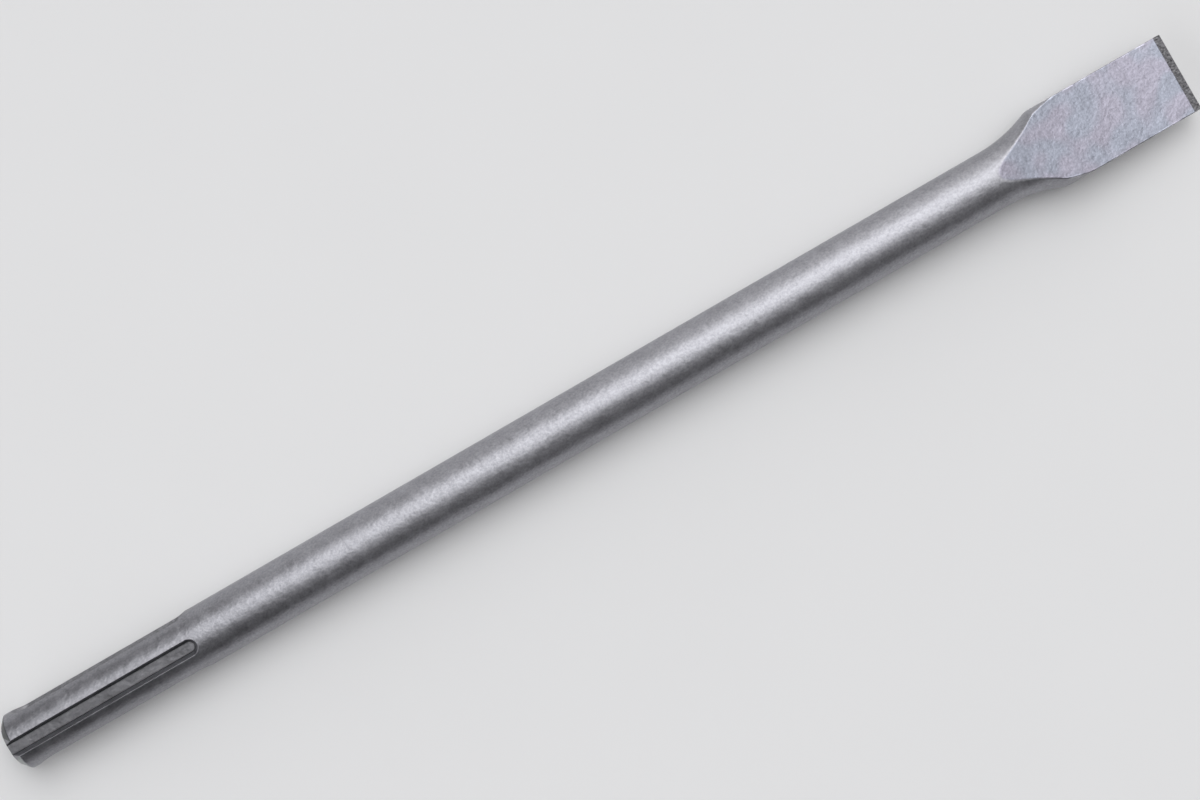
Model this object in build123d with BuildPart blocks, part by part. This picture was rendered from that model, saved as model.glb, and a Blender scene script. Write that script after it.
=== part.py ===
from build123d import *
import os
from math import atan, degrees, hypot, sqrt, tan

# Flat chisel for a rotary hammer: one steel forging, lying with the flat of its blade up.
# X runs along the bar from the struck end to the cutting edge, Y across the blade, Z up.
# The origin is the centre of the struck end, so the bar's axis is the X axis.

# Bar and struck end
overall_length = 400.0
bar_diameter = 18.0
end_chamfer_length = 2.3
end_chamfer_depth = 2.6

# Slots of the shank, all cut into the round bar from the outside
slot_pattern_turn = 8.0  # the single drive slot leans this far from the flat of the blade
drive_slot_width = 5.2  # across the rim, for the splines that turn the tool
drive_slot_floor_width = 3.4
drive_slot_depth = 2.9
drive_slot_end = 64.0  # from the struck end, where each drive slot is open
drive_pair_spread = 35.0  # the two drive slots on the far side, each side of the middle
lock_slot_width = 8.0  # across the rim, for the rollers that keep the tool in
lock_slot_floor_width = 6.4
lock_slot_depth = 2.0
lock_slot_start = 4.5
lock_slot_end = 64.0
slot_floor_fillet = 0.5
slot_rim_fillet = 0.3

# Blade, drawn out of the same bar
blade_length = 64.0  # from the first flare of the bar to the cutting edge
blade_width = 25.5
edge_width = 25.3
flare_radius = 44.0  # hollow curve from the bar out to the corner
corner_radius = 5.0  # round corner from the flare to the blade's side
side_flattening_start = 5.0  # from the first flare, where its round sides start to turn flat
side_flattening_length = 21.0
flat_side_half_height = 40.0  # of the tall ellipse that the blade's nearly flat sides follow
face_radius = 440.0  # each flat is slightly hollow along the blade
bevel_length = 2.6  # ground at the edge, on both flats
bevel_thickness = 3.6  # of the blade where the bevels start
edge_land = 0.2  # thickness left at the cutting edge

bar_radius = bar_diameter / 2
blade_start = overall_length - blade_length
bevel_start = overall_length - bevel_length
overcut = bar_diameter  # how far a cut runs past the metal it removes
touching = 0.01  # an edge this near to a surface lies on it

# Outline of the blade seen from above
flare_rise = blade_width / 2 - bar_radius
centre_distance = flare_radius + corner_radius
corner_end = blade_start + sqrt(flare_rise * (2 * centre_distance - flare_rise))
flare_end = blade_start + flare_radius * (corner_end - blade_start) / centre_distance


def half_width(x):
    # hollow arc, round corner, then a straight side that tapers a little to the edge
    if x <= flare_end:
        return bar_radius + flare_radius - sqrt(flare_radius**2 - (x - blade_start) ** 2)
    if x <= corner_end:
        return blade_width / 2 - corner_radius + sqrt(corner_radius**2 - (corner_end - x) ** 2)
    return (blade_width - (blade_width - edge_width) * (x - corner_end) / (overall_length - corner_end)) / 2


def half_height(x):
    # the sides are as round as the bar at first, then their ellipse grows taller and taller
    share = (x - blade_start - side_flattening_start) / side_flattening_length
    full_flatness = 1 - (bar_radius / flat_side_half_height) ** 2
    return bar_radius / sqrt(1 - full_flatness * min(max(share, 0), 1) ** 2)


def is_slot_rim(edge):
    # rims lie on the outside of the bar or of its end chamfer, and are no rings around it
    middle = edge @ 0.5
    chamfer_left = max(1 - middle.X / end_chamfer_length, 0)
    outside_radius = bar_radius - end_chamfer_depth * chamfer_left
    on_outside = abs(hypot(middle.Y, middle.Z) - outside_radius) < touching
    return on_outside and edge.geom_type != GeomType.CIRCLE


def spaced(first, last, count):
    return [first + (last - first) * step / count for step in range(count + 1)]


def slot_cutter(rim_width, floor_width, depth, first, last):
    # flat floor with round ends, walls that lean outwards, and a fillet along the floor
    floor_height = bar_radius - depth
    rim_height = sqrt(bar_radius**2 - (rim_width / 2) ** 2)
    wall_lean = atan((rim_width - floor_width) / 2 / (rim_height - floor_height))
    end_inset = floor_width / 2 + depth * tan(wall_lean)
    first_centre, last_centre = first + end_inset, last - end_inset
    with BuildPart() as cutter:
        with BuildSketch(Plane.XY.offset(floor_height)):
            with Locations(((first_centre + last_centre) / 2, 0)):
                SlotCenterToCenter(last_centre - first_centre, floor_width)
        extrude(amount=2 * depth, taper=-degrees(wall_lean))
        fillet(cutter.edges().group_by(Axis.Z)[0], radius=slot_floor_fillet)
    return cutter.part


drive_cutter = slot_cutter(
    drive_slot_width, drive_slot_floor_width, drive_slot_depth, -overcut, drive_slot_end
)
lock_cutter = slot_cutter(
    lock_slot_width, lock_slot_floor_width, lock_slot_depth, lock_slot_start, lock_slot_end
)

with BuildPart() as flat_chisel:
    # Round bar with its chamfered struck end
    with BuildSketch(Plane.XZ):
        with BuildLine():
            Polyline(
                (0, 0),
                (0, bar_radius - end_chamfer_depth),
                (end_chamfer_length, bar_radius),
                (blade_start, bar_radius),
                (blade_start, 0),
                close=True,
            )
        make_face()
    revolve(axis=Axis.X)

    # Slots of the shank
    for angle in (0, 180 - drive_pair_spread, 180 + drive_pair_spread):
        add(drive_cutter.rotate(Axis.X, slot_pattern_turn + angle), mode=Mode.SUBTRACT)
    for angle in (-90, 90):
        add(lock_cutter.rotate(Axis.X, slot_pattern_turn + angle), mode=Mode.SUBTRACT)
    shank_edges = flat_chisel.edges().filter_by_position(Axis.X, 0, max(drive_slot_end, lock_slot_end))
    fillet(shank_edges.filter_by(is_slot_rim), radius=slot_rim_fillet)

    # Flare, from the round bar to the corners
    for x in spaced(blade_start, corner_end, 8):
        with BuildSketch(Plane.YZ.offset(x)):
            Ellipse(half_width(x), half_height(x))
    loft()

    # Blade, first where its sides turn flat and then straight on to the edge
    flattening_end = blade_start + side_flattening_start + side_flattening_length
    for stations in (spaced(corner_end, flattening_end, 4), (flattening_end, overall_length)):
        for x in stations:
            with BuildSketch(Plane.YZ.offset(x)):
                Ellipse(half_width(x), half_height(x))
                Rectangle(2 * blade_width, bar_diameter, mode=Mode.INTERSECT)
        loft()

    # Flats and edge bevels, cut away above and below
    with BuildSketch(Plane.XZ):
        with BuildLine():
            hollow = RadiusArc((blade_start, bar_radius), (bevel_start, bevel_thickness / 2), -face_radius)
            Polyline(
                hollow @ 1,
                (overall_length, edge_land / 2),
                (overall_length + overcut, edge_land / 2),
                (overall_length + overcut, flat_side_half_height + overcut),
                (blade_start, flat_side_half_height + overcut),
                hollow @ 0,
            )
        make_face()
        mirror(about=Plane.XZ)
    extrude(amount=blade_width, both=True, mode=Mode.SUBTRACT)

os.makedirs("parts", exist_ok=True)
flat_chisel.part.label = "flat_chisel"
export_step(flat_chisel.part, "parts/flat_chisel.step")
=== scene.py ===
import bpy
import numpy as np
from mathutils import Matrix, Vector


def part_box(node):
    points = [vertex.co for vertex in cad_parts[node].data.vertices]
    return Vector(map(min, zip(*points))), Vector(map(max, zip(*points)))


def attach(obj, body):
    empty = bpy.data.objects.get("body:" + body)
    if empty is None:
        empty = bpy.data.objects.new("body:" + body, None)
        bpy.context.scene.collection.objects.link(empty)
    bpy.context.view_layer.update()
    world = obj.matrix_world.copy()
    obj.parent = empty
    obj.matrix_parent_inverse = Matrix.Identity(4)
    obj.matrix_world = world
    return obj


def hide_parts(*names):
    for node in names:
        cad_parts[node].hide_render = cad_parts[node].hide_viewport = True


# Flat chisel for a rotary hammer, one steel forging, lying with the flat of its blade up.
# X runs from the struck end to the cutting edge, Y across the blade, Z up. Shapes are in mm.

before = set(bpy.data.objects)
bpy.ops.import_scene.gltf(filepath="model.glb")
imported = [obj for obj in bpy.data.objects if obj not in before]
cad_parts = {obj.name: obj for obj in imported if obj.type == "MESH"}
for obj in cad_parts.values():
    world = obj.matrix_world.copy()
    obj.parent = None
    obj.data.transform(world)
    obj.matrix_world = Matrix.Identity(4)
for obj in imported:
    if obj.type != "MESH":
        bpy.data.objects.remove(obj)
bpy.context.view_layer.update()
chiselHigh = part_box("flat_chisel")[1]  # the corner of its box towards +X, +Y and +Z
mm = 0.001  # Blender's metres in one of this script's millimetres
tiny = 1e-9  # added where a length of zero would divide
print("frame loaded, nodes:", len(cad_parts))

# The forging: its lengths, from the struck end where a place along X is meant
forging = {
    "length": chiselHigh.x / mm,
    "barRadius": chiselHigh.z / mm,
    "endChamfer": (2.3, 2.6),  # along the bar, and in from its outside
    "slotTurn": 8.0,  # degrees that the single drive slot leans from the flat of the blade
    # angles are counted from that slot, rim and floor are widths, and a drive slot is open at its start
    "driveSlot": {"angles": (0, 145, 215), "rim": 5.2, "floor": 3.4, "depth": 2.9, "from": -9, "to": 64.0},
    "lockSlot": {"angles": (90, 270), "rim": 8.0, "floor": 6.4, "depth": 2.0, "from": 4.5, "to": 64.0},
    "slotFloorRound": 0.3,
    "slotRimRound": 0.15,
    "chamferRound": 0.2,
    "bladeStart": 336.0,
    "bladeWidth": 2 * chiselHigh.y / mm,
    "edgeWidth": 25.3,
    "flareRadius": 44.0,
    "cornerRadius": 5.0,
    "sideFlatteningStart": 341.0,  # where the flare's round sides start to turn flat
    "sideFlatteningLength": 21.0,
    "flatSideHalfHeight": 40.0,  # of the tall ellipse that the blade's nearly flat sides follow
    "faceRadius": 440.0,
    "bevelLength": 2.6,
    "bevelThickness": 3.6,
    "edgeLand": 0.2,
    "bladeEdgeRound": 0.28,  # scaled and blasted edges of the flats
    "groundEdgeRound": 0.06,  # edges left by the grinding wheel
    "endRound": 0.25,
}

# Where the outline's arcs meet: the hollow flare touches the round corner, and that the blade's side
flareRise = forging["bladeWidth"] / 2 - forging["barRadius"]
arcDistance = forging["flareRadius"] + forging["cornerRadius"]
flareRun = np.sqrt(flareRise * (2 * arcDistance - flareRise))
flareEnd = forging["bladeStart"] + flareRun * forging["flareRadius"] / arcDistance
cornerEnd = forging["bladeStart"] + flareRun
bevelStart = forging["length"] - forging["bevelLength"]

# The flats are hollow: a large arc from the top of the bar to the bevel, with its centre above
arcFirst = np.array([forging["bladeStart"], forging["barRadius"]])
arcLast = np.array([bevelStart, forging["bevelThickness"] / 2])
chord = arcLast - arcFirst
halfChord = np.hypot(*chord) / 2
awayFromChord = np.array([-chord[1], chord[0]]) / (2 * halfChord)
arcCentre = (arcFirst + arcLast) / 2 + awayFromChord * np.sqrt(forging["faceRadius"] ** 2 - halfChord ** 2)
bevelRun = np.array([forging["bevelLength"], (forging["edgeLand"] - forging["bevelThickness"]) / 2])


def halfWidth(x):
    # outline of the blade: barRadius + flareRadius - sqrt(flareRadius^2 - run^2) along the flare, the
    # same kind of arc for the corner, then a straight side that tapers to the edge
    flareRadius, cornerRadius = forging["flareRadius"], forging["cornerRadius"]
    widest = forging["bladeWidth"] / 2
    run = np.clip(x - forging["bladeStart"], 0, flareEnd - forging["bladeStart"])
    hollow = forging["barRadius"] + flareRadius - np.sqrt(flareRadius ** 2 - run ** 2)
    left = np.clip(cornerEnd - x, 0, cornerEnd - flareEnd)
    corner = widest - cornerRadius + np.sqrt(cornerRadius ** 2 - left ** 2)
    taper = (widest - forging["edgeWidth"] / 2) * (x - cornerEnd) / (forging["length"] - cornerEnd)
    return np.select([x <= flareEnd, x <= cornerEnd], [hollow, corner], widest - taper)


def halfHeight(x):
    # the sides follow an ellipse, as tall as the bar on the flare and taller and taller from there:
    # barRadius / sqrt(1 - fullFlatness share^2)
    share = np.clip((x - forging["sideFlatteningStart"]) / forging["sideFlatteningLength"], 0, 1)
    fullFlatness = 1 - (forging["barRadius"] / forging["flatSideHalfHeight"]) ** 2
    return forging["barRadius"] / np.sqrt(1 - fullFlatness * share ** 2)


def faceHeight(x):
    # height of the flats over the middle plane: the hollow arc, then the straight bevel
    arc = arcCentre[1] - np.sqrt(forging["faceRadius"] ** 2 - (x - arcCentre[0]) ** 2)
    bevel = arcLast[1] + (x - bevelStart) * bevelRun[1] / bevelRun[0]
    return np.where(x < bevelStart, arc, bevel)


def roundMeet(a, b, radius):
    # distance out of what two solids share: the larger of their distances, and near the edge between
    # them hypot(a + radius, b + radius) - radius, which rounds it
    inside = np.minimum(np.maximum(a, b), -radius)
    return inside + np.hypot(np.maximum(a + radius, 0), np.maximum(b + radius, 0))


def slotHeights(slot):
    # over the bar's axis: the flat floor, and the rim, where the wall meets the round of the bar
    rimHeight = np.sqrt(forging["barRadius"] ** 2 - slot["rim"] ** 2 / 4)
    return forging["barRadius"] - slot["depth"], rimHeight


def slotFields(x, y, z):
    # for each slot, distances out of its floor and out of its wall, which leans outwards and closes in
    # a round end: the way from the slot's middle line, less half the floor, turned by the lean
    for slot in (forging["driveSlot"], forging["lockSlot"]):
        floorHeight, rimHeight = slotHeights(slot)
        lean = np.arctan((slot["rim"] - slot["floor"]) / 2 / (rimHeight - floorHeight))
        inset = slot["floor"] / 2 + slot["depth"] * np.tan(lean)
        for angle in slot["angles"]:
            turn = np.radians(forging["slotTurn"] + angle)
            up = z * np.cos(turn) - y * np.sin(turn)
            across = y * np.cos(turn) + z * np.sin(turn)
            away = np.hypot(across, x - np.clip(x, slot["from"] + inset, slot["to"] - inset))
            wall = (away - slot["floor"] / 2) * np.cos(lean) - (up - floorHeight) * np.sin(lean)
            yield floorHeight - up, wall


def sideField(x, y, z):
    # distance out of the round bar and of the blade's outline: size is 1 on each section's ellipse,
    # and size - 1 is divided by how fast size grows outwards
    width, height = halfWidth(x), halfHeight(x)
    size = np.hypot(y / width, z / height) + tiny
    return (size - 1) * size / (np.hypot(y / width ** 2, z / height ** 2) + tiny / width)


def flatField(x, z):
    # distance out of the two hollow flats, which is how far a point lies inside the large circle, met
    # by the distance over the bevels ground on them
    flats = forging["faceRadius"] - np.hypot(x - arcCentre[0], np.abs(z) - arcCentre[1])
    bevels = ((np.abs(z) - arcLast[1]) * bevelRun[0] - (x - bevelStart) * bevelRun[1]) / np.hypot(*bevelRun)
    return roundMeet(flats, bevels, forging["groundEdgeRound"])


def coneField(x, y, z):
    # distance out of the cone that chamfers the struck end: how far a point's radius is past the
    # cone's at its place, (radius - barRadius + rise) run - x rise, over the cone's slant
    run, rise = forging["endChamfer"]
    return ((np.hypot(y, z) - forging["barRadius"] + rise) * run - x * rise) / np.hypot(run, rise)


def forgingField(x, y, z):
    # distance out of the steel: the bar met by its flats, cone and ends, less the slots
    field = roundMeet(sideField(x, y, z), flatField(x, z), forging["bladeEdgeRound"])
    field = roundMeet(field, coneField(x, y, z), forging["chamferRound"])
    for floor, wall in slotFields(x, y, z):
        slot = roundMeet(floor, wall, forging["slotFloorRound"])
        field = roundMeet(field, -slot, forging["slotRimRound"])
    field = roundMeet(field, -x, forging["endRound"])
    return roundMeet(field, x - forging["length"], forging["groundEdgeRound"])


def finishMasks(x, y, z):
    # in mm, how far a point lies inside a slot, on a flat and on the chamfer, and how far it is from
    # the nearest corner between the floor and the wall of a drive slot
    side = sideField(x, y, z)
    slots = list(slotFields(x, y, z))
    driveSlots = slots[:len(forging["driveSlot"]["angles"])]
    inside = [-np.maximum(floor, wall) for floor, wall in slots]
    corners = [np.hypot(floor, wall) for floor, wall in driveSlots]
    return {"slot": np.max(inside, axis=0) - side, "flat": flatField(x, z) - side,
            "chamfer": coneField(x, y, z) - side, "corner": np.min(corners, axis=0)}


# How the sections are laid along the bar and how each one's points are spread
mesh = {
    "runs": (  # where each run of sections starts and how many it has, more where the shape changes
        (0.01, 6),
        (0.4, 4),
        (forging["endChamfer"][0] - 0.3, 8),
        (forging["lockSlot"]["from"] - 0.1, 20),
        (forging["lockSlot"]["from"] + 5.1, 10),
        (forging["lockSlot"]["to"] - 5.6, 46),
        (forging["lockSlot"]["to"] + 0.6, 4),
        (forging["lockSlot"]["to"] + 6, 24),
        (forging["bladeStart"] - 2, 64),
        (forging["bladeStart"] + 21, 36),
        (bevelStart - 0.4, 9),
        (forging["length"] - 0.8, 9),
    ),
    "lastSection": forging["length"] - 0.01,
    "buttRings": (0, 0.25, 0.5, 0.75, 0.9, 0.97),  # on the struck end, parts of its radius
    "slotFloorStep": 0.3,  # between the points across a slot's floor
    "slotFloorMargin": 0.45,  # where these steps stop short of its corner
    "slotFloorLast": (0.36, 0.22, 0.11, 0.04),  # the last places before the corner
    "slotWall": (0, 0.07, 0.16, 0.28, 0.42, 0.58, 0.74, 0.85, 0.92, 0.96, 0.985),  # parts of its height
    "slotPastRim": (0, 0.05, 0.11, 0.2, 0.35, 0.7),  # along the round of the bar
    "barLandPoints": 5,
    "barCornerAngle": 52.0,  # degrees from the top where the flat's share of the points ends on the bar
    "flatShare": 0.15,  # of all points, from the middle of a flat to its corner
    "crowding": 0.82,  # 0 spreads a flat's points evenly, 1 crowds them at its corners
    "faceLimit": 0.9999,  # of a section's half height, so that its flat always has a width
    "slotZone": (68, 140),  # where the spread goes from the slots' to the bar's
    "cornerZone": (342, 354.6),  # where the spread goes from the bar's to the blade's
    "search": (0.02, 16.0),  # the surface is looked for between these reaches from the axis
    "halvings": 26,
    "slopeStep": 0.01,  # to either side of a point, for the direction that the surface faces
}


def smoothStep(first, last, x):
    # t^2 (3 - 2t), with t going from 0 to 1 between first and last
    t = np.clip((x - first) / (last - first), 0, 1)
    return t * t * (3 - 2 * t)


def sectionPlaces():
    # even steps within each run, from its start to the next one's
    starts, counts = zip(*mesh["runs"])
    ends = starts[1:] + (mesh["lastSection"],)
    runs = [np.linspace(*run, endpoint=False) for run in zip(starts, ends, counts)]
    return np.concatenate(runs + [[mesh["lastSection"]]])


def slotSpread(slot):
    # angles across one slot, from its middle out: over the floor, up the wall and over the rim
    floorHeight, rimHeight = slotHeights(slot)
    floorHalf, rimHalf = slot["floor"] / 2, slot["rim"] / 2
    even = np.arange(0, floorHalf - mesh["slotFloorMargin"], mesh["slotFloorStep"])
    onFloor = np.concatenate([even, floorHalf - np.array(mesh["slotFloorLast"])])
    part = np.array(mesh["slotWall"])
    wallAcross = floorHalf + (rimHalf - floorHalf) * part
    wallUp = floorHeight + (rimHeight - floorHeight) * part
    pastRim = np.arctan2(rimHalf, rimHeight) + np.array(mesh["slotPastRim"]) / forging["barRadius"]
    half = np.concatenate([np.arctan2(onFloor, floorHeight), np.arctan2(wallAcross, wallUp), pastRim])
    return np.concatenate([-half[:0:-1], half])


def shankAngles():
    # all angles around the shank, from the top towards -Y: each slot's spread and the lands between
    spreads = []
    for slot in (forging["driveSlot"], forging["lockSlot"]):
        for angle in slot["angles"]:
            spreads.append(np.radians(forging["slotTurn"] + angle) + slotSpread(slot))
    spreads.sort(key=lambda spread: spread[0])
    angles = []
    for spread, following in zip(spreads, spreads[1:] + [spreads[0] + 2 * np.pi]):
        land = np.linspace(spread[-1], following[0], mesh["barLandPoints"] + 2)[1:-1]
        angles += [spread, land]
    return np.concatenate(angles)


def bladeTargets(count, x):
    # points around one blade section, from the top middle towards -Y: flat, side, flat, side. Along
    # each, t goes from -1 to 1, and (1 - crowding) t + crowding sin(90 t degrees) crowds its ends
    flatShare = mesh["flatShare"]
    share = np.arange(count) / count
    width, height = halfWidth(x), halfHeight(x)
    face = np.minimum(faceHeight(x), height * mesh["faceLimit"])
    corner = width * np.sqrt(1 - (face / height) ** 2)

    def crowded(t):
        t = np.clip(t, -1, 1)
        return (1 - mesh["crowding"]) * t + mesh["crowding"] * np.sin(np.pi / 2 * t)

    top = np.mod(share + 0.5, 1) - 0.5
    bottom = share - 0.5
    outward = np.where(share < 0.5, -1, 1)
    sideMiddle = np.where(share < 0.5, 0.25, 0.75)
    sideZ = face * crowded((share - sideMiddle) / (0.25 - flatShare)) * outward
    sideY = outward * width * np.sqrt(1 - (sideZ / height) ** 2)
    onFlats = [np.abs(top) <= flatShare, np.abs(bottom) <= flatShare]
    flatY = [-corner * crowded(top / flatShare), corner * crowded(bottom / flatShare)]
    y = np.select(onFlats, flatY, sideY)
    z = np.select(onFlats, [face, -face], sideZ)
    return y, z


def sectionAngles(x):
    # one row of angles for each section; along the bar they go from the slots' spread to an even one
    # and on to the blade's
    shank = shankAngles()
    count = len(shank)
    start = np.searchsorted(shank, 0)  # the angles before the top become the last of the round
    shank = np.roll(shank, -start) + np.where(np.arange(count) >= count - start, 2 * np.pi, 0)
    x = x[:, None]
    share = np.arange(count)[None, :] / count
    flat, corner = mesh["flatShare"], np.radians(mesh["barCornerAngle"])
    bar = np.interp(share, [0, flat, 0.5 - flat, 0.5 + flat, 1 - flat, 1],
                    [0, corner, np.pi - corner, np.pi + corner, 2 * np.pi - corner, 2 * np.pi])
    y, z = bladeTargets(count, np.maximum(x, mesh["cornerZone"][0]))
    blade = np.unwrap(np.arctan2(-y, z), axis=1)
    blade = blade - 2 * np.pi * np.round(blade[:, :1] / (2 * np.pi))  # each row starts near 0
    angles = shank + (bar - shank) * smoothStep(*mesh["slotZone"], x)
    return angles + (blade - angles) * smoothStep(*mesh["cornerZone"], x)


def onSurface(x, angles):
    # along each ray from the bar's axis, the steel's surface is found by halving
    x = np.broadcast_to(x[:, None], angles.shape)
    y, z = -np.sin(angles), np.cos(angles)
    low, high = (np.full(angles.shape, reach) for reach in mesh["search"])
    for halving in range(mesh["halvings"]):
        middle = (low + high) / 2
        out = forgingField(x, y * middle, z * middle) > 0
        low, high = np.where(out, low, middle), np.where(out, middle, high)
    reach = (low + high) / 2
    return np.stack([x, y * reach, z * reach], axis=-1)


def fieldNormals(points):
    # outward direction: how the distance changes over a small step along each axis
    slopes = []
    for step in np.eye(3) * mesh["slopeStep"]:
        ahead, behind = np.moveaxis(points + step, -1, 0), np.moveaxis(points - step, -1, 0)
        slopes.append(forgingField(*ahead) - forgingField(*behind))
    slopes = np.stack(slopes, axis=-1)
    return slopes / np.maximum(np.linalg.norm(slopes, axis=-1, keepdims=True), tiny)


def forgingPoints():
    # rings that shrink to the middle of the struck end, as parts of the first section, then all
    # sections along the bar, each ring with its outward directions
    x = sectionPlaces()
    sections = onSurface(x, sectionAngles(x))
    butt = sections[0] * np.array(mesh["buttRings"])[:, None, None]
    butt[..., 0] = 0
    buttNormals = np.zeros_like(butt) - [1, 0, 0]
    return np.concatenate([butt, sections]), np.concatenate([buttNormals, fieldNormals(sections)])


def forgingFaces(rings, count):
    # point 0 is the middle of the struck end and each ring's points follow: a fan around the middle,
    # quads from ring to ring, and across the cutting edge a strip with a triangle at each end
    around = np.arange(count)
    ring = 1 + np.arange(rings - 1)[:, None] * count
    here, beside = ring + around, ring + (around + 1) % count
    quads = np.stack([here, beside, beside + count, here + count], axis=-1).reshape(-1, 4)
    fan = np.stack([np.zeros(count, int), beside[0], here[0]], axis=-1)
    last = 1 + (rings - 1) * count
    half, reach = count // 2, count // 4 - 1  # the count is a multiple of four
    upper = np.arange(-reach, reach)  # counted from the top, each of them faces one below
    strip = last + np.stack([upper, upper + 1, half - upper - 1, half - upper], axis=-1) % count
    tips = np.array([[reach, reach + 1, reach + 2], [half + reach + 1, -reach, half + reach]])
    tips = last + tips % count
    return [face for part in (quads, fan, strip, tips) for face in part.tolist()]


def makeMesh(name, points, faces, normals, masks):
    # points in mm, and a float attribute for each mask
    piece = bpy.data.objects.new(name, bpy.data.meshes.new(name))
    bpy.context.collection.objects.link(piece)
    piece.data.from_pydata(points * mm, [], faces)
    piece.data.shade_smooth()
    for title, values in masks.items():
        attribute = piece.data.attributes.new(title, "FLOAT", "POINT")
        attribute.data.foreach_set("value", values.astype(np.float32))
    piece.data.normals_split_custom_set_from_vertices(normals)
    return piece


def makeForging():
    # the first ring is shrunk to one point, so only the last of its points is kept
    rings, normals = forgingPoints()
    count = rings.shape[1]
    faces = forgingFaces(len(rings) - 1, count)
    points, normals = (rows.reshape(-1, 3)[count - 1:] for rows in (rings, normals))
    print("surface worked out,", len(points), "points,", sum(len(face) - 2 for face in faces), "triangles")
    return makeMesh("forged_chisel", points, faces, normals, finishMasks(*points.T))


chisel = makeForging()
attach(chisel, "root")
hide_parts("flat_chisel")


class Wire:
    # an output of a shader node; sums and products on it add their Math nodes
    def __init__(self, paint, socket):
        self.paint, self.socket = paint, socket

    def math(self, operation, *values):
        return self.paint.wire("ShaderNodeMath", {"operation": operation}, dict(enumerate(values)))

    def __add__(self, other):
        return self.math("ADD", self, other)

    def __radd__(self, other):
        return self.math("ADD", other, self)

    def __sub__(self, other):
        return self.math("SUBTRACT", self, other)

    def __rsub__(self, other):
        return self.math("SUBTRACT", other, self)

    def __mul__(self, other):
        return self.math("MULTIPLY", self, other)

    def __rmul__(self, other):
        return self.math("MULTIPLY", other, self)

    def __truediv__(self, other):
        return self.math("DIVIDE", self, other)

    def __rtruediv__(self, other):
        return self.math("DIVIDE", other, self)

    def __pow__(self, other):
        return self.math("POWER", self, other)

    def __neg__(self):
        return self.math("MULTIPLY", self, -1)

    def __abs__(self):
        return self.math("ABSOLUTE", self)

    def exponential(self):
        return self.math("EXPONENT", self)


class Paint:
    # builds one node tree: a node from its type, its settings and the values or wires of its sockets
    def __init__(self, tree):
        self.tree = tree

    def node(self, kind, settings=None, values=None):
        made = self.tree.nodes.new(kind)
        for name, value in (settings or {}).items():
            setattr(made, name, value)
        for name, value in (values or {}).items():
            if isinstance(value, Wire):
                self.tree.links.new(value.socket, made.inputs[name])
            else:
                made.inputs[name].default_value = value
        return made

    def wire(self, kind, settings=None, values=None, output=0):
        return Wire(self, self.node(kind, settings, values).outputs[output])

    def vector(self, operation, first, second):
        return self.wire("ShaderNodeVectorMath", {"operation": operation}, {0: first, 1: second})

    def scaled(self, vector, factor):
        return self.wire("ShaderNodeVectorMath", {"operation": "SCALE"}, {0: vector, "Scale": factor})

    def step(self, value, first, last, low=0, high=1):
        # goes smoothly from low to high while the value goes from first to last
        sockets = {"Value": value, "From Min": first, "From Max": last, "To Min": low, "To Max": high}
        return self.wire("ShaderNodeMapRange", {"interpolation_type": "SMOOTHSTEP"}, sockets)

    def noise(self, place, size, detail=2, roughness=0.5, stretch=(1, 1, 1)):
        # 0 to 1, with blotches about as large as the size in mm
        spread = self.vector("MULTIPLY", place, [1 / (size * mm * along) for along in stretch])
        sockets = {"Vector": spread, "Scale": 1, "Detail": detail, "Roughness": roughness}
        return self.wire("ShaderNodeTexNoise", values=sockets)

    def mix(self, share, first, second):
        # colours or wires of colour; the sockets with these numbers are the colour ones
        return self.wire("ShaderNodeMix", {"data_type": "RGBA"}, {0: share, 6: first, 7: second}, output=2)


def newPaint(name):
    material = bpy.data.materials.new(name)
    material.use_nodes = True
    material.node_tree.nodes.clear()
    return material, Paint(material.node_tree)


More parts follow.
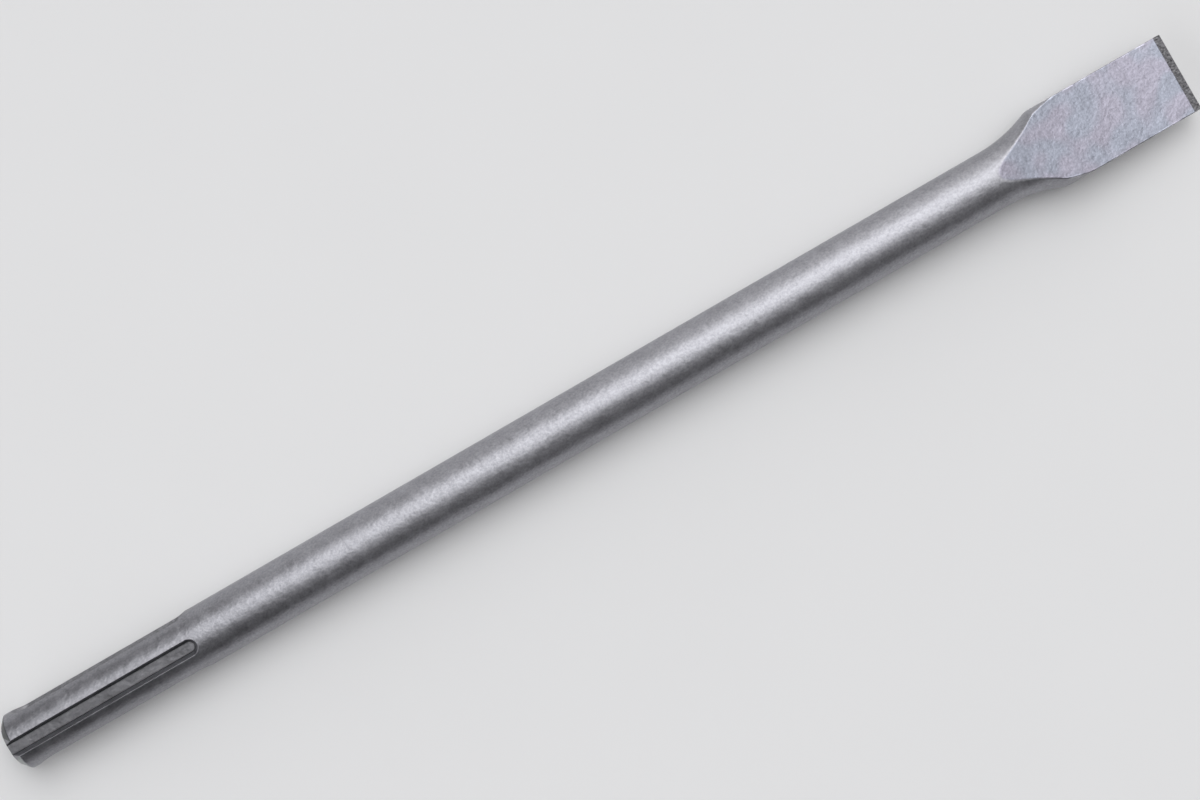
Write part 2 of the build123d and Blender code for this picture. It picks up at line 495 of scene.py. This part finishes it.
# Blasted and drawn steel, with milled slots, hollow forged flats and a ground edge. Lengths are in
# mm, and a fade says where on its mask or axis a zone begins and where it is full
steel = {
    "bar": (0.342, 0.341, 0.367),
    "flat": (0.255, 0.268, 0.317),
    "flatTint": (0.277, 0.267, 0.318),  # the flats change to this in patches
    "slot": (0.312, 0.311, 0.330),
    "cone": (0.250, 0.264, 0.260),
    "bevel": (0.160, 0.158, 0.166),
    "barRoughness": 0.46,
    "flatRoughness": 0.40,
    "bevelRoughness": 0.36,
    "slotFade": (0.02, 0.2),
    "flatFade": (-0.05, 0.2),
    "coneFade": (-0.05, 0.15),
    "bevelFade": (-0.05, 0.08),
    "spotSize": (6, 1.7, 0.7),  # blotches, mottling and grain
    "spotDetail": (0.5, 0.5, 0.6),  # how strong the finer spots in them are
    "spotShade": (0.36, 0.34, 0.70),  # how much they change the steel's shade
    "spotRoughness": (0.10, 0.10),  # how much the first two change its roughness
    "spotHeight": (0.150, 0.090, 0.045),
    "flatRelief": 1.05,  # how much rougher the flats are
    "tintSize": 7,
    "tintPatches": (0.35, 0.65),  # of the noise, where the tint begins and where it is full
    "pitDepth": 0.030,
    "pitSpacing": 3.2,
    "pitFade": (0.22, 0.0),  # parts of the spacing
    "pitPatches": (0.42, 0.58),  # of the blotches
    "lineSize": 0.5,  # of the grinding lines
    "lineDetail": 0.6,
    "lineStretch": (2.5, 1, 2.5),
    "lineShade": 3.6,  # how much they change the ground steel's shade
    "lineHeight": 0.006,
    "wearAndHighlight": 0.9,  # worn edges and a painted highlight: how much brighter the flats' edges are
    "wearFade": (0.6, 0.1),  # on either side of the edge
    "wearStart": (352, 358),  # along the bar
    "wearPatches": (0.46, 0.6),  # of the blotches
    "wearLeast": 0.1,  # what is left of it between the patches
    "cornerPaintedShade": 0.6,  # painted shade: how much darker the drive slots' corners are, where the walls shade the floors
    "cornerFade": (0.45, 0.18),
    "shankDark": 0.16,  # how much darker the steel is towards the struck end
    "shankPolish": 0.045,  # how much less rough it is
    "shankFade": (115, 40),  # along the bar
    "coneShadingAndDirt": 1.1,  # painted light and shade, with dirt: how much the end's chamfer darkens from its -Y side to its +Y side
    "coneAcross": (4, -5),
    "seamPaintedShade": 0.5,  # painted shade: how much darker the line is where the chamfer meets the bar, where its rounded edge reflects dark
    "seamFade": (0.25, 0.05),  # on either side of the line
    "seamAcross": (-3, 1),
}


def steelZones(paint, place):
    # 0 to 1, where each finish, each painted shade and highlight, dirt and wear is, from the mesh's masks
    # and the place along the bar
    x, y = [paint.wire("ShaderNodeSeparateXYZ", values={0: place}, output=axis) * (1 / mm) for axis in "XY"]
    masks = {name: paint.wire("ShaderNodeAttribute", {"attribute_name": name}, output="Fac")
             for name in ("slot", "flat", "chamfer", "corner")}
    slot = paint.step(masks["slot"], *steel["slotFade"])
    bevel = paint.step(x - bevelStart, *steel["bevelFade"])
    cone = paint.step(masks["chamfer"], *steel["coneFade"]) * (1 - slot)
    seam = paint.step(abs(masks["chamfer"]), *steel["seamFade"]) * paint.step(y, *steel["seamAcross"])
    wornAndHighlit = paint.step(abs(masks["flat"]), *steel["wearFade"]) * paint.step(x, *steel["wearStart"])
    return {
        "slot": slot,
        "flat": paint.step(masks["flat"], *steel["flatFade"]),
        "cone": cone,
        "bevel": bevel,
        "shank": paint.step(x, *steel["shankFade"]),
        "corner": paint.step(masks["corner"], *steel["cornerFade"]),
        "coneLight": cone * (paint.step(y, *steel["coneAcross"]) - 0.5),
        "seam": seam * (1 - slot),
        "wornAndHighlit": wornAndHighlit * (1 - bevel),
    }


def steelColour(paint, place, zones):
    # the bar's colour, over it the flats' two in patches, and over those the other zones' own
    tinted = paint.step(paint.noise(place, steel["tintSize"], detail=0), *steel["tintPatches"])
    flat = paint.mix(tinted, (*steel["flat"], 1), (*steel["flatTint"], 1))
    colour = paint.mix(zones["flat"], (*steel["bar"], 1), flat)
    for zone in ("slot", "cone", "bevel"):
        colour = paint.mix(zones[zone], colour, (*steel[zone], 1))
    return colour


def steelShade(paint, zones, spots, lines):
    # what the colour is multiplied by: 1 and the spots, less with painted shade in the slots' corners and
    # along the chamfer's seam, less towards the struck end, lighter and darker across the chamfer with
    # painted light, shade and dirt, more on the flats' worn edges with a painted highlight
    shade = 1
    for spot, change in zip(spots, steel["spotShade"]):
        shade = shade + (spot - 0.5) * change
    # painted shade in the drive slots' corners between floor and wall
    shade = shade * (1 - zones["corner"] * steel["cornerPaintedShade"])
    shade = shade * (1 - zones["shank"] * steel["shankDark"])
    # painted light on the chamfer's -Y side, painted shade and dirt on its +Y side
    shade = shade * (1 + zones["coneLight"] * steel["coneShadingAndDirt"])
    # painted shade along the line where the chamfer meets the bar, on its +Y side
    shade = shade * (1 - zones["seam"] * steel["seamPaintedShade"])
    patches = paint.step(spots[0], *steel["wearPatches"], steel["wearLeast"], 1)
    # worn edges with a painted highlight along the flats' edges, in patches
    shade = shade * (1 + zones["wornAndHighlit"] * patches * steel["wearAndHighlight"])
    return shade * (1 + zones["bevel"] * (lines - 0.5) * steel["lineShade"])


def steelRoughness(zones, spots):
    # the bar's roughness with its spots, and what each zone adds to it or takes off
    roughness = steel["barRoughness"]
    for spot, change in zip(spots, steel["spotRoughness"]):
        roughness = roughness + (spot - 0.5) * change
    roughness = roughness + zones["flat"] * (steel["flatRoughness"] - steel["barRoughness"])
    roughness = roughness + zones["bevel"] * (steel["bevelRoughness"] - steel["flatRoughness"])
    return roughness - zones["shank"] * steel["shankPolish"]


def steelHeight(paint, place, zones, spots, lines):
    # in mm: the spots, stronger on the flats and less their pits, and on the bevel only the lines
    height = sum(spot * rise for spot, rise in zip(spots, steel["spotHeight"]))
    spacing = steel["pitSpacing"] * mm
    cells = paint.wire("ShaderNodeTexVoronoi", values={"Vector": place, "Scale": 1 / spacing})
    pits = paint.step(cells, *steel["pitFade"]) * paint.step(spots[0], *steel["pitPatches"])
    height = height * (1 + zones["flat"] * (steel["flatRelief"] - 1))
    height = height - zones["flat"] * pits * steel["pitDepth"]
    return height * (1 - zones["bevel"]) + zones["bevel"] * lines * steel["lineHeight"]


def paintSteel():
    material, paint = newPaint("forgedSteel")
    place = paint.wire("ShaderNodeTexCoord", output="Object")
    zones = steelZones(paint, place)
    spots = [paint.noise(place, size, roughness=detail)
             for size, detail in zip(steel["spotSize"], steel["spotDetail"])]
    lines = paint.noise(
        place, steel["lineSize"], roughness=steel["lineDetail"], stretch=steel["lineStretch"])
    colour = paint.scaled(steelColour(paint, place, zones), steelShade(paint, zones, spots, lines))
    height = steelHeight(paint, place, zones, spots, lines)
    bump = paint.wire("ShaderNodeBump", values={"Strength": 1, "Distance": mm, "Height": height})
    shader = paint.wire("ShaderNodeBsdfPrincipled", values={
        "Base Color": colour, "Roughness": steelRoughness(zones, spots), "Metallic": 1, "Normal": bump})
    paint.node("ShaderNodeOutputMaterial", values={"Surface": shader})
    return material


chisel.data.materials.append(paintSteel())
print("steel painted")

# Camera straight above the lying chisel, turned so that the bar rises to the right
view = {
    "over": (202.1, 1.6),  # the picture's middle on the chisel
    "distance": 700.0,
    "turn": 29.98,  # degrees that the bar rises in the picture
    "frameWidth": 356.2,  # what the picture takes in across, at the height of the bar's axis
    "sensorWidth": 36,
    "nearest": 10,  # the camera sees from here
    "farthest": 50000,
}


def placeCamera():
    lens = bpy.data.cameras.new("camera")
    lens.sensor_width = view["sensorWidth"]
    lens.lens = view["sensorWidth"] * view["distance"] / view["frameWidth"]
    lens.clip_start = view["nearest"] * mm
    lens.clip_end = view["farthest"] * mm
    turn = np.radians(view["turn"])
    across, up = Vector((np.cos(turn), -np.sin(turn), 0)), Vector((np.sin(turn), np.cos(turn), 0))
    turned = Matrix((across, up, Vector((0, 0, 1)))).transposed().to_4x4()
    camera = bpy.data.objects.new("camera", lens)
    camera.matrix_world = Matrix.Translation(Vector((*view["over"], view["distance"])) * mm) @ turned
    bpy.context.collection.objects.link(camera)
    bpy.context.scene.camera = camera


# Pale floor that the bar lies on
paper = {
    "half": 30000.0,  # from its middle to its sides
    "pale": (0.725, 0.725, 0.73, 1),
    "dull": (0.71, 0.71, 0.715, 1),
    "patchSize": 60,  # of the changes between the two
    "roughness": 0.9,
}


def layFloor():
    # one flat square at the height of the bar's lowest line
    half, level = paper["half"] * mm, -forging["barRadius"] * mm
    corners = [(-half, -half, level), (half, -half, level), (half, half, level), (-half, half, level)]
    floor = bpy.data.objects.new("floor", bpy.data.meshes.new("floor"))
    floor.data.from_pydata(corners, [], [(0, 1, 2, 3)])
    bpy.context.collection.objects.link(floor)
    material, paint = newPaint("paleFloor")
    place = paint.wire("ShaderNodeTexCoord", output="Object")
    colour = paint.mix(paint.noise(place, paper["patchSize"]), paper["dull"], paper["pale"])
    shader = paint.wire("ShaderNodeBsdfPrincipled", values={
        "Base Color": colour, "Roughness": paper["roughness"]})
    paint.node("ShaderNodeOutputMaterial", values={"Surface": shader})
    floor.data.materials.append(material)


# Soft studio, as light from each direction: a broad silk above the bar that leans to +Y, a grey wall
# behind it on the cutting edge's half, a panel past each end of the bar, and low all around a pale
# backdrop with a dim part in the middle of the -Y side. Places are parts of a direction of length 1
studio = {
    "silk": (2.38, 2.40, 2.42),
    "silkLean": 18.6,  # degrees from straight up towards +Y
    "silkHalf": 27.2,  # degrees to its soft edge on either side
    "silkAlong": (0.036, 0.386),  # its middle along the bar and its half length
    "silkTowardsEdge": 0.88,  # how much brighter it is towards the cutting edge
    "softness": 5.5,  # power of its soft edges
    "wall": (1.38, 1.37, 1.36),
    "wallLean": (-13.8, 21.2),  # degrees where the wall is at half its light, and how softly it fades
    "wallAlong": (-0.041, 0.03),  # the same along the bar
    "panel": (1.05, 1.05, 1.07),
    "struckEndPanel": (-0.5, -0.78),  # along the bar, where it begins and where it is full
    "edgeEndPanel": (0.64, 0.86),
    "backdrop": (0.74, 0.74, 0.75),
    "backdropHeight": (0.10, 0.03),  # where it begins and where it is full
    "gapHalf": 0.42,  # half length of its dim part
    "gapSoftness": 4,  # power of the dim part's ends
    "gapAcross": (0, -0.5),  # where it begins and where it is full
    "gapDimness": 0.95,
    "room": (0.006, 0.006, 0.009),
}


def lightStudio():
    world = bpy.data.worlds.new("studio")
    bpy.context.scene.world = world
    world.use_nodes = True
    world.node_tree.nodes.clear()
    paint = Paint(world.node_tree)
    direction = paint.wire("ShaderNodeTexCoord", output="Generated")
    way = paint.node("ShaderNodeSeparateXYZ", values={0: direction})
    along, across, up = (Wire(paint, way.outputs[axis]) for axis in ("X", "Y", "Z"))
    lean = across.math("ARCTAN2", across, up) * (180 / np.pi)

    # silk: exp(-(off its sides)^softness - (off its ends)^softness)
    middle, reach = studio["silkAlong"]
    offSides = (abs(lean - studio["silkLean"]) / studio["silkHalf"]) ** studio["softness"]
    offEnds = (abs(along - middle) / reach) ** studio["softness"]
    silk = (-(offSides + offEnds)).exponential() * (1 + along * studio["silkTowardsEdge"])

    # wall: 1 / (1 + exp(off / fade)), across and along
    leanEnd, leanFade = studio["wallLean"]
    alongEnd, alongFade = studio["wallAlong"]
    wall = 1 / (1 + ((leanEnd - lean) / leanFade).exponential())
    wall = wall / (1 + ((alongEnd - along) / alongFade).exponential())
    light = paint.vector("ADD", studio["room"], paint.scaled(studio["silk"], silk))
    light = paint.vector("ADD", light, paint.scaled(studio["wall"], wall))
    panels = paint.step(along, *studio["struckEndPanel"]) + paint.step(along, *studio["edgeEndPanel"])
    light = paint.vector("MAXIMUM", light, paint.scaled(studio["panel"], panels))

    # backdrop: less where exp(-(along / gapHalf)^gapSoftness) leaves it dim
    gap = (-((abs(along) / studio["gapHalf"]) ** studio["gapSoftness"])).exponential()
    gap = gap * paint.step(across, *studio["gapAcross"])
    backdrop = paint.scaled(studio["backdrop"], 1 - gap * studio["gapDimness"])
    light = paint.mix(paint.step(up, *studio["backdropHeight"]), light, backdrop)
    sky = paint.wire("ShaderNodeBackground", values={"Color": light, "Strength": 1})
    paint.node("ShaderNodeOutputWorld", values={"Surface": sky})


placeCamera()
layFloor()
lightStudio()
bpy.context.scene.view_settings.view_transform = "Standard"
print("camera, floor and light placed")
